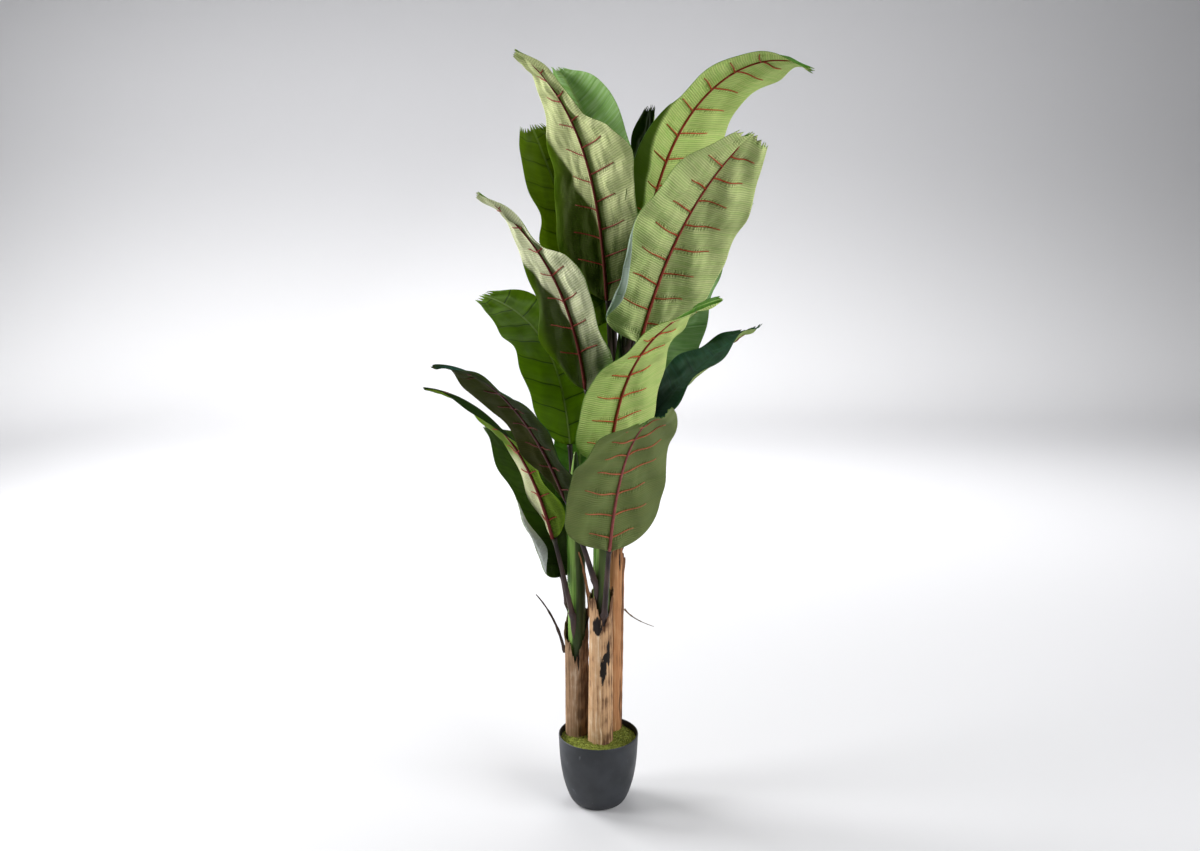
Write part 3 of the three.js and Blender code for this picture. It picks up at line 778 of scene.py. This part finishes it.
def makeStalk(name, stem, leaf, stalkPaint):
    shape = stalkShape
    foot, head = leafShape["stalkFoot"], leafShape["stalkHead"]
    stalk = startTube("stalk_" + name, shape["sides"], shape["rings"])
    angle, share = tubePlaces(stalk)
    run = lerp(-shape["tail"], leaf["stalk"] - leafShape["clear"], share)
    # the stalk proper, grooved along its upper side
    s = np.clip(run, 0, None) / leaf["length"]
    across, above = leafFrame(leaf, s)[1:]
    k = np.clip(run / leaf["stalk"], 0, 1)
    radius = lerp(foot, head, k) * lerp(shape["footSwell"], 1.0, ease(0, 0.25, k))
    radius = radius + shape["sleeve"] * ease(0.93, 0.95, k)
    groove = 1 - shape["groove"] * np.clip(np.cos(angle), 0, 1) ** 3 * (1 - ease(0.85, 0.93, k))
    free = onLine(leaf, s) + above * (radius * groove * np.cos(angle))[:, None]
    free = free + across * (radius * np.sin(angle))[:, None]
    # the tail wraps the stem's side and thins out downwards
    down = np.clip(-run / shape["tail"], 0, 1)
    x, y, around = stemAt(stem, leaf["rise"] + np.minimum(run, 0))
    wide = lerp(foot * shape["footSwell"], shape["tailWide"], np.sin(np.pi * np.clip(down * 0.75, 0, 1)))
    wide = wide * (1 - down ** 3) + shape["tailEnd"]
    thick = lerp(foot, shape["tailThick"], ease(0, 0.38, down)) * (1 - 0.6 * down)
    turn = math.radians(leaf["seat"]) - wide * np.sin(angle) / around
    away = around + leafShape["clear"] + thick * (1 - np.cos(angle))
    tail = roundPlaces(x, y, away, turn, leaf["rise"] + run)
    placePoints(stalk, np.where((run < 0)[:, None], tail, free))
    finishPiece(stalk, [stalkPaint], "stalk_plum", "petiole_" + name)


def makeLeaves():
    stalkPaint = speckled("stalkPlum", **stalkShape["finish"])[0]
    ribPaints = {}
    for number, (name, own) in enumerate(leaves.items()):
        leaf = {"seat": own["heading"], "foldTip": own.get("fold", leafUsual["fold"]), **leafUsual, **own}
        tint = {**plainTint, **leafTints[leaf["tint"]]}
        stem = name.split("_")[0]
        draws = np.random.default_rng(40 + number)
        leaf["length"] = leaf["stalk"] + leaf["blade"]
        leaf["line"] = leafLine(stem, leaf)
        leaf["draws"] = draws.random((2, leafShape["draws"], 3))
        leaf["offset"] = draws.uniform(0.2, 0.8, 2)
        leaf["slant"] = draws.uniform(-7, 7)
        leaf["phase"] = draws.uniform(0, 6.3, 2)
        code = tint["rib"]
        if code not in ribPaints:
            midrib = makeRibPaint("mid_" + code, paint(code))
            ribPaints[code] = [midrib, makeRibPaint("vein_" + code, veinTone(code))]
        makeBlade(name, leaf, tint)
        makeRibs(name, leaf, ribPaints[code])
        makeStalk(name, stem, leaf, stalkPaint)
    print("leaves made,", len(leaves))


# Green stems

stemShape = {
    "sides": 40, "rings": 70, "flute": 0.5, "crown": 150.0, "closed": 0.85, "shadedSideTurn": 0.35,
    "shadedSide": "2c3416",
    "finish": dict(
        roughness=0.45, specular=0.3, base="4c7a24", bump=(0.0006, 160.0, 3.0, 0.05),
        layers=[("9cc062", 1.0, 70.0, 5.0, 0.36, 0.66, 0.06), ("4d3c2a", 0.8, 38.0, 4.0, 0.5, 0.64, 0.1)]),
}


def makeStemPaint():
    material, tree, shader, colour = speckled("stemGreen", **stemShape["finish"])
    # the stem's side away from the key light is painted darker, as painted shade, with a ragged border
    ragged = times(noise(objectPlace(tree), 60.0, 4.0, 0.05), 1.2, -0.6)
    shadedSide = ramp(calc("ADD", readTone(tree, "shadedSide"), ragged), 0.4, 0.62)
    colourInto(shader, mixColour(shadedSide, colour, paint(stemShape["shadedSide"]), 0.85))
    return material


def makeStem(name, stemPaint):
    shape = stemShape
    stem = startTube("cane_" + name, shape["sides"], shape["rings"])
    angle, share = tubePlaces(stem)
    top = stems[name]["top"]
    z = lerp(stemFoot, top, share)
    x, y, radius = stemAt(name, z)
    flute = np.sin(3 * angle + z / 130) + 0.6 * np.sin(7 * angle - z / 90)
    crown = np.clip((z - top + shape["crown"]) / shape["crown"], 0, 1)
    radius = radius - shape["flute"] + shape["flute"] * flute * 0.6
    radius = radius * (1 - shape["closed"] * crown ** 1.3)
    placePoints(stem, roundPlaces(x, y, radius, angle, z))
    addTone(stem, "shadedSide", 0.5 + 0.5 * np.cos(angle + shape["shadedSideTurn"]))  # the side away from the key light, painted dark as painted shade
    finishPiece(stem, [stemPaint], "stem_green", "stem_" + name)


# Husks: dry sheaths round the lower stems, with a flap that laps over, fibres, wrinkles and charred spots

huskShape = {
    "sides": 132, "rings": 110, "gap": 0.4, "thick": 4.0, "thin": 2.5, "bulk": 3.0, "wall": 1.3,
    "rib": 0.8, "fibre": 0.22, "flapSeat": 0.4, "flare": 3.2, "lip": 3.5, "char": "1d1814",
    "torn": [(7, 5, 0), (5, 3, 40), (3, 23, 0), (2.5, 37, 70)],  # height, waves round, start
    "fibres": [(1, 17, 60, 0), (0.8, 29, -45, 1), (0.6, 43, 35, 0)],  # share, count round, drift, start
}
# Per husk: its edge's lowest and highest places, the side and width of its notch, the flap's two sides and
# thickness, and charred spots as side, height, width and length
husks = {
    "left": dict(
        low=362, high=485, notch=-100, wide=120, flap=(-215, -88), step=1.7, wrinkle=0.9, cracks=0.9,
        colours=("6a523c", "957659", "bea58c"), spots=[(-60, 474, 20, 22), (-84, 372, 6, 34)]),
    "front": dict(
        low=468, high=548, notch=-75, wide=70, flap=(-200, -90), step=1.5, wrinkle=0.35, cracks=0.8,
        colours=("684a34", "c49c74", "e6cdac"),
        spots=[(-107, 474, 32, 30), (-50, 404, 13, 40), (-66, 394, 24, 15), (-80, 362, 20, 38)]),
    "back": dict(
        low=430, high=655, notch=84, wide=110, flap=(-150, -40), step=1.2, wrinkle=0.25, cracks=0.35,
        colours=("60402a", "b27e54", "d6ac80"), spots=[(-58, 610, 7, 30), (-110, 470, 12, 20)]),
}


def huskTop(husk, degrees):
    away = np.abs(degrees - husk["notch"]) % 360
    away = np.where(away > 180, 360 - away, away)
    torn = sum(high * np.sin(np.radians(degrees * waves + start))
               for high, waves, start in huskShape["torn"])
    return lerp(husk["low"], husk["high"], np.minimum(1, away / husk["wide"]) ** 0.8) + torn


def huskSkin(radius, share, degrees):
    # the sheath's outer radius round a stem, at a share of the way up to its edge
    shape = huskShape
    skin = radius + shape["gap"] + lerp(shape["thick"], shape["thin"], share) + shape["bulk"]
    return skin + shape["rib"] * np.sin(np.radians(degrees * 4 + 50))


def makeHuskPaint(name, husk):
    material, tree, shader = newMaterial("husk_" + name, 0.82, 0.25)
    place = objectPlace(tree)
    dark, mid, pale = (paint(code) for code in husk["colours"])
    fibres = noise(place, 150.0, 6.0, 0.07)
    patches = noise(place, 30.0, 5.0, 0.3)
    cracks = noise(place, 46.0, 6.0, 0.7)
    tone = readTone(tree, "tone")
    for pattern, share in ((fibres, 0.9), (patches, 0.7), (cracks, husk["cracks"])):
        tone = calc("ADD", tone, times(pattern, share, -0.5 * share))
    colour = mixColour(ramp(tone, 0.12, 0.5), dark, mid)
    colour = mixColour(ramp(tone, 0.5, 0.95), colour, pale)
    rough = times(noise(place, 110.0, 5.0, 0.35), 1.3, -0.65)
    burnt = ramp(calc("ADD", readTone(tree, "char"), rough), 0.42, 0.6)
    colourInto(shader, mixColour(burnt, colour, paint(huskShape["char"])))
    height = calc("ADD", fibres, times(patches, 0.6))
    bumpInto(shader, times(cracks, 2 * husk["cracks"], height), 0.0016)
    return material


def makeHusk(name):
    husk = husks[name]
    shape = huskShape
    piece = startTube("sheath_" + name, shape["sides"], shape["rings"], "NOTHING")
    angle, share = tubePlaces(piece)
    degrees = np.degrees(angle)
    z = lerp(stemFoot, huskTop(husk, degrees), share)
    x, y, radius = stemAt(name, z)
    fibre = sum(part * np.sin(count * angle + z / drift + start)
                for part, count, drift, start in shape["fibres"])
    edges = 5 * np.sin(z / 31) + 3 * np.sin(z / 12.5 + 2)  # how far the flap's edges wander
    start, end = husk["flap"]
    spun = (degrees - start) % 360
    lap = end - start
    on = ease(0, 4, spun - edges) * (1 - ease(lap - 3, lap, spun + edges))
    creases = np.sin(z / 7.5 + 3 * np.sin(2.3 * angle) + 1.4 * np.sin(5 * angle)) * (1 - on)
    flare = shape["flare"] * ease(0.93, 1, share) * np.sin(np.radians(degrees * 6 + 30))
    radius = huskSkin(radius, share, degrees) + shape["fibre"] * fibre
    radius = radius + husk["step"] * (on - shape["flapSeat"]) + husk["wrinkle"] * creases + flare
    placePoints(piece, roundPlaces(x, y, radius, angle, z))
    lip = bell(spun + edges, lap, shape["lip"])  # the flap's pale front edge
    # the wrinkles are painted paler on their ridges and darker in their hollows, as painted shade
    tone = 0.42 + 0.07 * fibre + 0.2 * (on - 0.5) + 0.1 * creases * husk["wrinkle"] + 0.3 * lip
    tone = tone - 0.25 * ease(0.9, 1, share) - 0.3 * bell(spun, edges, 3)
    char = 0 * z
    for side, high, broad, tall in husk["spots"]:
        off = (degrees - side + 180) % 360 - 180
        char = np.maximum(char, bell(off, 0, broad) * bell(z, high, tall))
    addTone(piece, "tone", tone)
    addTone(piece, "char", char)
    modify(piece, "SOLIDIFY", thickness=shape["wall"] * mm, offset=-1)
    finishPiece(piece, [makeHuskPaint(name, husk)], "husk_brown", "husk_" + name)


# Loose strips of husk

stripShape = {"sides": 10, "rings": 40, "clear": 0.3, "bendAt": (0.25, 0.6), "taper": 0.75, "cupped": 0.18}
strips = {
    "left": dict(
        husk="left", side=180, start=380, reach=(-70, 0), climb=152, size=(5, 1.6), turn=60, twist=40,
        code="4a3a31"),
    "front": dict(
        husk="front", side=160, start=486, reach=(-28, 3), climb=164, size=(7, 1.4), turn=55, twist=30,
        code="b0794e"),
    "right": dict(
        husk="back", side=0, start=482, reach=(74, -2), climb=-46, size=(2.4, 1.2), turn=55, twist=30,
        code="85705a"),
}


def makeStrip(name):
    strip = strips[name]
    shape = stripShape
    piece = startTube("strip_" + name, shape["sides"], shape["rings"])
    angle, share = tubePlaces(piece)
    broad, thick = strip["size"]
    x, y, radius = stemAt(strip["husk"], strip["start"])
    high = (strip["start"] - stemFoot) / (huskTop(husks[strip["husk"]], strip["side"]) - stemFoot)
    turn = math.radians(strip["side"])
    away = huskSkin(radius, high, strip["side"]) + thick + shape["clear"]
    reach = np.array([*strip["reach"], strip["climb"]])
    out, up = shape["bendAt"]
    first = roundPlaces(x, y, away, turn, strip["start"])
    bend = first + reach * (out, out, up)
    last = first + reach
    k = share[:, None]
    at = first * (1 - k) ** 2 + 2 * bend * k * (1 - k) + last * k * k
    along = unit(2 * (bend - first) * (1 - k) + 2 * (last - bend) * k)
    flat = np.array([-math.sin(turn), math.cos(turn), 0.0])
    face = unit(np.cross(along, flat))
    spin = np.radians(strip["turn"] + strip["twist"] * share)
    taper = (1 - shape["taper"] * share) * (1 + 0.12 * np.sin(share * 23) + 0.08 * np.sin(share * 41))
    wide = broad * taper * np.cos(angle)
    thin = thick * taper * np.sin(angle) * 0.7 + shape["cupped"] * wide * np.sin(angle * 2)
    at = at + flat * (wide * np.cos(spin) - thin * np.sin(spin))[:, None]
    at = at + face * (wide * np.sin(spin) + thin * np.cos(spin))[:, None]
    placePoints(piece, at)
    material, tree, shader = newMaterial("strip_" + name, 0.75, 0.3)
    fibres = spots(objectPlace(tree), 220.0, 5.0, 0.35, 0.68, 0.1)
    colour = paint(strip["code"])
    colourInto(shader, mixColour(fibres, toned(colour, 0.35), colour))
    bumpInto(shader, fibres, 0.0008)
    finishPiece(piece, [material], "husk_brown", "husk_strip_" + name)


# Pot, turned from the CAD's profile with its curve smoothed

potShape = {
    "profile": [(57, 0), (64, 4), (70, 12), (76, 25), (82, 42), (88.5, 66), (93.5, 95), (96.5, 124),
                (98, 150), (99, 177)],
    "lip": [(98.7, 179.0), (98.0, 179.8), (97.3, 180.0), (96.6, 179.6), (96.1, 178.6)],
    "wall": 3.0, "floor": 5.0, "corner": (2.0, 3.0), "sides": 128, "steps": 6,
    "finish": dict(
        roughness=0.5, specular=0.42, base="292c30", bump=(0.00025, 420.0, 3.0),
        layers=[("33363b", 1.0, 16.0, 5.0, 0.35, 0.68), ("7b8086", 0.3, 55.0, 6.0, 0.66, 0.76, 0.5)]),
}


def potCurve():
    knots = np.array([potShape["profile"][0], *potShape["profile"], potShape["profile"][-1]], float)
    curve = []
    for i in range(1, len(knots) - 2):
        a, b, c, d = knots[i - 1:i + 3]
        for k in np.arange(potShape["steps"]) / potShape["steps"]:
            curve.append(b + 0.5 * k * (c - a + k * (2 * a - 5 * b + 4 * c - d + k * (3 * (b - c) + d - a))))
    return np.array([*curve, knots[-1]])


def makePot():
    outer = potCurve()
    inwards, upwards = potShape["corner"]  # where the inside turns from wall to floor
    low = potShape["floor"]
    inner = [(r - potShape["wall"], z) for r, z in outer[::-1] if z > low + upwards]
    rings = np.array([*outer, *potShape["lip"], *inner, (inner[-1][0] - inwards, low)])
    pot = startTube("planter", potShape["sides"], len(rings) - 1)
    angle, share = tubePlaces(pot)
    radius, z = rings[np.rint(share * (len(rings) - 1)).astype(int)].T
    placePoints(pot, roundPlaces(0, 0, radius, angle, z))
    material, tree, shader, _ = speckled("potSlate", **potShape["finish"])
    gloss = ramp(noise(objectPlace(tree), 24.0, 4.0), 0.3, 0.7, 0.44, 0.58)
    tree.links.new(gloss, shader.inputs["Roughness"])
    finishPiece(pot, [material], "pot_slate", "pot")


fillShape = {
    "sides": 64, "rings": 12, "low": 5.3, "high": 155, "clear": 0.8,
    "finish": dict(
        roughness=0.95, specular=0.2, base="77746e", layers=[("9c9992", 1.0, 180.0, 6.0, 0.35, 0.7)]),
}


def makeFill():
    shape = fillShape
    fill = startTube("filling", shape["sides"], shape["rings"])
    angle, share = tubePlaces(fill)
    z = lerp(shape["low"], shape["high"], share)
    radius = np.interp(z, *np.array(potShape["profile"], float).T[::-1]) - potShape["wall"] - shape["clear"]
    placePoints(fill, roundPlaces(0, 0, radius, angle, z))
    finishPiece(fill, [speckled("fillCement", **shape["finish"])[0]], "fill_cement", "pot_fill")


# Moss: a lumpy bed and short strands in three greens

mossShape = {
    "sides": 96, "rings": 44, "rim": 94.0, "edge": 164.0, "crown": 169.0, "lump": 1.44,
    "strands": 2600, "long": (3.5, 8.0), "wide": 0.55, "lean": (0.3, 1.1), "upright": 0.55,
    "sunk": 0.8, "stemClear": 9.0,
}
mossGreens = {"pale": "b4bc5c", "mid": "96a046", "dark": "6e7a32"}


def mossHeight(x, y):
    share = np.hypot(x, y) / mossShape["rim"]
    lumps = np.sin(x / 6.1 + 1.7 * np.sin(y / 9)) * np.cos(y / 7.3 - 1.3 * np.sin(x / 8))
    lumps = lumps + 0.6 * np.sin(x / 2.9 + y / 3.7) * np.sin(y / 3.1 - x / 4.3)
    bed = lerp(mossShape["crown"], mossShape["edge"], np.clip(share, 0, 1) ** 2)
    return bed + mossShape["lump"] * lumps


def makeMossPaint(name, code):
    layers = [(code, 1.0, 130.0, 5.0, 0.34, 0.68)]
    return speckled("moss_" + name, 0.95, 0.15, toned(paint(code), 0.55), layers)[0]


def makeStrands(name, code, draws):
    shape = mossShape
    radius = shape["rim"] * np.sqrt(draws.random(shape["strands"]))
    turn = draws.uniform(0, 2 * np.pi, shape["strands"])
    x, y = radius * np.cos(turn), radius * np.sin(turn)
    free = np.ones(len(x), bool)
    for stem in stems:
        stemX, stemY, around = stemAt(stem, shape["edge"])
        free &= np.hypot(x - stemX, y - stemY) > around + shape["stemClear"]
    x, y = x[free], y[free]
    n = len(x)
    foot = np.stack([x, y, mossHeight(x, y) - shape["sunk"]], -1)
    tall = draws.uniform(*shape["long"], n)
    way = draws.uniform(0, 2 * np.pi, n)
    lean = roundPlaces(0, 0, 1, way, 0 * way) * (tall * draws.uniform(*shape["lean"], n))[:, None]
    rise = np.array([0, 0, 1.0]) * (tall * shape["upright"])[:, None]
    places = np.empty((n, 7, 3))  # a three-sided spike: foot, bend and point
    spike = [(2, 1, 0)]
    for j in range(3):
        k = (j + 1) % 3
        spike += [(j, k, 3 + k, 3 + j), (3 + j, 3 + k, 6)]
        out = roundPlaces(0, 0, 1, way + 2 * np.pi * j / 3, 0 * way) * shape["wide"]
        places[:, j] = foot + out
        places[:, 3 + j] = foot + out * 0.75 + lean * 0.4 + rise * 0.7
    places[:, 6] = foot + lean + rise
    inside = np.minimum(1, (shape["rim"] + 0.5) / np.hypot(places[..., 0], places[..., 1]))
    places[..., :2] *= inside[..., None]
    faces = [tuple(7 * i + v for v in face) for i in range(n) for face in spike]
    strands = fromArrays("moss_" + name, places.reshape(-1, 3), faces)
    finishPiece(strands, [makeMossPaint(name, code)], "moss_green", "moss_top")


def makeMoss():
    shape = mossShape
    bed = startTube("mossBed", shape["sides"], shape["rings"])
    angle, share = tubePlaces(bed)
    radius = shape["rim"] * np.minimum(1, (1 - share) * 1.05 + 0.005)
    x, y = radius * np.cos(angle), radius * np.sin(angle)
    z = np.where(share < 0.01, stemFoot, mossHeight(x, y))
    placePoints(bed, np.stack([x, y, z], -1))
    finishPiece(bed, [makeMossPaint("bed", mossGreens["mid"])], "moss_green", "moss_top")
    draws = np.random.default_rng(7)
    for name, code in mossGreens.items():
        makeStrands(name, code, draws)
    print("pot and moss made")


# Studio, in metres, with the focal length and the image's width in pixels

studio = {
    "cameraAt": (0.004, -2.75, 1.5), "pitch": 11.1, "focal": 1182.0, "imageWide": 1200.0, "sensor": 36.0,
    "floor": dict(wide=9.0, front=-7.0, bend=5.2, radius=2.2, high=6.5, faces=(8, 120)),
    # the paper is painted palest at the floor's bend, as painted light
    "paper": (0.62, 0.62, 0.635, 1.0), "palest": (0.9, 0.9, 0.915, 1.0), "paleRun": (4.2, 6.3, 8.8),
    "worldColour": (0.93, 0.95, 1.0, 1.0), "worldStrength": 0.05,
    "lights": {
        "key": dict(at=(-3.45, 1.76, 2.91), aim=(0, 0, 1.15), size=(2.0, 2.0), power=218),
        "left": dict(at=(-3.1, -0.5, 2.0), aim=(0, 0, 1.2), size=(1.2, 1.6), power=75),
        "right": dict(at=(2.6, -1.6, 2.3), aim=(0, 0, 1.1), size=(2.6, 2.2), power=108),
        "top": dict(at=(0.0, 1.9, 3.8), aim=(0, 0.4, 0.6), size=(1.8, 1.5), power=44),
        "back": dict(at=(-0.9, 3.3, 2.75), aim=(-0.3, 5.4, 0.0), size=(9.5, 0.8), power=225),
    },
}


def makeFloor():
    plan = studio["floor"]
    bend, radius = plan["bend"], plan["radius"]
    quarter = radius * math.pi / 2
    floor = startSheet("studioFloor", *plan["faces"])
    grid = readPoints(floor)
    run = (grid[:, 1] + 1) / 2 * (bend - plan["front"] + quarter + plan["high"]) + plan["front"]
    turn = np.clip((run - bend) / radius, 0, math.pi / 2)
    y = np.minimum(run, bend) + radius * np.sin(turn)
    z = radius * (1 - np.cos(turn)) + np.clip(run - bend - quarter, 0, None)
    placePoints(floor, np.stack([grid[:, 0] * plan["wide"], y, z], -1) / mm)
    start, middle, end = studio["paleRun"]
    addTone(floor, "pale", ease(start, middle, run) - ease(middle, end, run))  # palest at its bend, as painted light
    material, tree, shader = newMaterial("studioPaper", 0.9, 0.1)
    colourInto(shader, mixColour(readTone(tree, "pale"), studio["paper"], studio["palest"]))
    floor.data.materials.append(material)
    smooth(floor)


def makeStudio():
    makeFloor()
    world = bpy.context.scene.world or bpy.data.worlds.new("studio")
    bpy.context.scene.world = world
    world.use_nodes = True
    world.node_tree.nodes["Background"].inputs["Color"].default_value = studio["worldColour"]
    world.node_tree.nodes["Background"].inputs["Strength"].default_value = studio["worldStrength"]
    for name, lamp in studio["lights"].items():
        bpy.ops.object.light_add(type="AREA", location=lamp["at"])
        light = bpy.context.object
        light.name = "light_" + name
        light.data.shape = "RECTANGLE"
        light.data.size, light.data.size_y = lamp["size"]
        light.data.energy = lamp["power"]
        aim = Vector(lamp["aim"]) - Vector(lamp["at"])
        light.rotation_euler = aim.to_track_quat("-Z", "Y").to_euler()
    bpy.ops.object.camera_add(location=studio["cameraAt"])
    camera = bpy.context.object
    camera.rotation_euler = (math.radians(90 - studio["pitch"]), 0, 0)
    camera.data.sensor_width = studio["sensor"]
    camera.data.lens = studio["sensor"] * studio["focal"] / studio["imageWide"]
    bpy.context.scene.camera = camera
    bpy.context.scene.view_settings.view_transform = "Standard"
    print("studio ready")


makeLeaves()
stemPaint = makeStemPaint()
for stemName in stems:
    makeStem(stemName, stemPaint)
    makeHusk(stemName)
for stripName in strips:
    makeStrip(stripName)
print("stems and husks made")
makePot()
makeFill()
makeMoss()
makeStudio()
